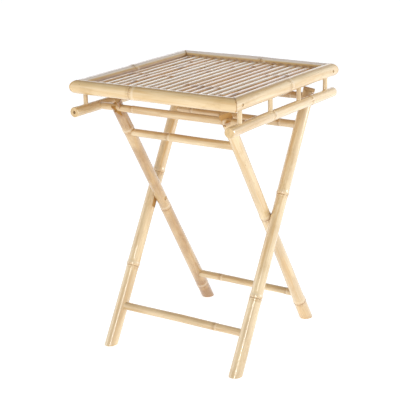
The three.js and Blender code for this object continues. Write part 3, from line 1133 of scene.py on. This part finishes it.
class TRAY_OT_pins(bpy.types.Operator):
    """Pivot pins at the crossing and pegs through the pivot bar"""

    bl_idname = "tray.pins"
    bl_label = "Pivot Pins and Bar Pegs"

    def execute(self, context):
        for side, sx in SIDES:
            node = f"pivot_pin_{side}"
            low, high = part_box(node)
            centre = (low + high) / 2
            inside, outside = sorted((low.x, high.x), key=abs)
            start = Vector((inside, centre.y, centre.z))
            end = Vector((outside - sx * 0.004, centre.y, centre.z))
            dowel(node, start, end, high.z - low.z, "inner_frame")
            start, end, radius = bar_peg(side)
            dowel(f"bar_peg_{side}", start, end, radius * 2, "inner_frame")
        return {"FINISHED"}


class TRAY_OT_stage(bpy.types.Operator):
    """Pale floor, soft studio light and the camera"""

    bl_idname = "tray.stage"
    bl_label = "Stage"

    AZIMUTH, ELEVATION, ROLL = 32.99, 16.79, -1.07
    DISTANCE, LENS = 3.25, 108.9
    # How far the view turns aside and up from the aim point, as shares of the distance.
    TURN_ASIDE, TURN_UP = 0.0076, 0.0035
    FLOOR_GLOW = 0.675

    def execute(self, context):
        self.floor()
        self.lights()
        self.camera(context)
        context.scene.view_settings.view_transform = "Standard"
        return {"FINISHED"}

    def floor(self):
        mesh = bmesh.new()
        bmesh.ops.create_grid(mesh, x_segments=1, y_segments=1, size=12.0)
        data = bpy.data.meshes.new("floor")
        mesh.to_mesh(data)
        mesh.free()
        make = Finish("studio floor")
        speck = make.noise(make.node("ShaderNodeTexCoord", out="Object"), 60.0, 2.0)
        tone = bpy.context.scene.tray_colours.floor
        colour = make.mix(speck * 0.04, tuple(tone), shade(tone, 0.96))
        make.shader.inputs["Emission Strength"].default_value = self.FLOOR_GLOW
        make.feed(Base_Color=colour, Roughness=0.9, Emission_Color=(1.0, 1.0, 1.0, 1.0))
        data.materials.append(make.material)
        floor = bpy.data.objects.new("floor", data)
        bpy.context.scene.collection.objects.link(floor)

    def lights(self):
        world = bpy.data.worlds.new("studio")
        world.use_nodes = True
        sheet = Sheet(world.node_tree)
        direction = sheet.node("ShaderNodeTexCoord")
        height = sheet.node("ShaderNodeSeparateXYZ", None, {0: direction}, out="Z")
        glow = sheet.fall(height, 0.3, 0.56) * 0.95 + 0.28
        background = world.node_tree.nodes["Background"]
        background.inputs["Color"].default_value = (0.96, 0.97, 1.0, 1.0)
        connect(world.node_tree, glow, background.inputs["Strength"])
        bpy.context.scene.world = world
        for name, place, power, width, height in (
            ("key", (1.1, -3.1, 1.5), 26.0, 0.4, 1.7),
            ("left fill", (-2.7, -1.6, 1.5), 4.0, 0.8, 1.6),
            ("right rim", (2.8, 1.5, 1.3), 26.0, 0.5, 1.6),
            ("back sheen", (-1.75, 2.7, 1.75), 2.6, 3.4, 0.5),
        ):
            lamp = bpy.data.lights.new(name, "AREA")
            lamp.energy = power
            lamp.shape = "RECTANGLE"
            lamp.size = width
            lamp.size_y = height
            light = bpy.data.objects.new(name, lamp)
            light.location = place
            light.rotation_euler = (Vector((0, 0, 0.45)) - light.location).to_track_quat("-Z", "Y").to_euler()
            bpy.context.scene.collection.objects.link(light)

    def camera(self, context):
        azimuth, elevation, roll = (math.radians(v) for v in (self.AZIMUTH, self.ELEVATION, self.ROLL))
        level = math.cos(elevation)
        back = Vector((math.sin(azimuth) * level, -math.cos(azimuth) * level, math.sin(elevation)))
        right = Vector((math.cos(azimuth), math.sin(azimuth), 0.0))
        up = back.cross(right)
        right, up = right * math.cos(roll) + up * math.sin(roll), up * math.cos(roll) - right * math.sin(roll)
        place = Vector((0, 0, 0.4)) + back * self.DISTANCE
        back = (back + right * self.TURN_ASIDE + up * self.TURN_UP).normalized()
        right = (right - back * right.dot(back)).normalized()
        up = back.cross(right)
        data = bpy.data.cameras.new("camera")
        data.lens = self.LENS
        data.sensor_width = 36.0
        data.clip_end = 60.0
        camera = bpy.data.objects.new("camera", data)
        columns = Matrix((right, up, back)).transposed().to_4x4()
        camera.matrix_world = Matrix.Translation(place) @ columns
        context.scene.collection.objects.link(camera)
        context.scene.camera = camera


PIECES = (
    TRAY_OT_frame_poles,
    TRAY_OT_mitre_pegs,
    TRAY_OT_slats,
    TRAY_OT_battens,
    TRAY_OT_side_rails,
    TRAY_OT_spindles,
    TRAY_OT_bars,
    TRAY_OT_inner_legs,
    TRAY_OT_outer_legs,
    TRAY_OT_stretchers,
    TRAY_OT_pins,
    TRAY_OT_stage,
)


class TRAY_PT_panel(bpy.types.Panel):
    bl_label = "Folding Tray Table"
    bl_idname = "TRAY_PT_panel"
    bl_space_type = "VIEW_3D"
    bl_region_type = "UI"
    bl_category = "Tray Table"

    def draw(self, context):
        for piece in PIECES:
            self.layout.operator(piece.bl_idname)
        for group in (context.scene.tray_sizes, context.scene.tray_colours):
            box = self.layout.box()
            for key in group.__annotations__:
                box.prop(group, key)


CLASSES = (TraySizes, TrayColours, *PIECES, TRAY_PT_panel)


def register():
    for item in CLASSES:
        bpy.utils.register_class(item)
    bpy.types.Scene.tray_sizes = PointerProperty(type=TraySizes)
    bpy.types.Scene.tray_colours = PointerProperty(type=TrayColours)


def unregister():
    del bpy.types.Scene.tray_colours
    del bpy.types.Scene.tray_sizes
    for item in reversed(CLASSES):
        bpy.utils.unregister_class(item)


def main():
    register()
    for piece in PIECES:
        group, name = piece.bl_idname.split(".")
        getattr(getattr(bpy.ops, group), name)()


if __name__ == "__main__":
    main()
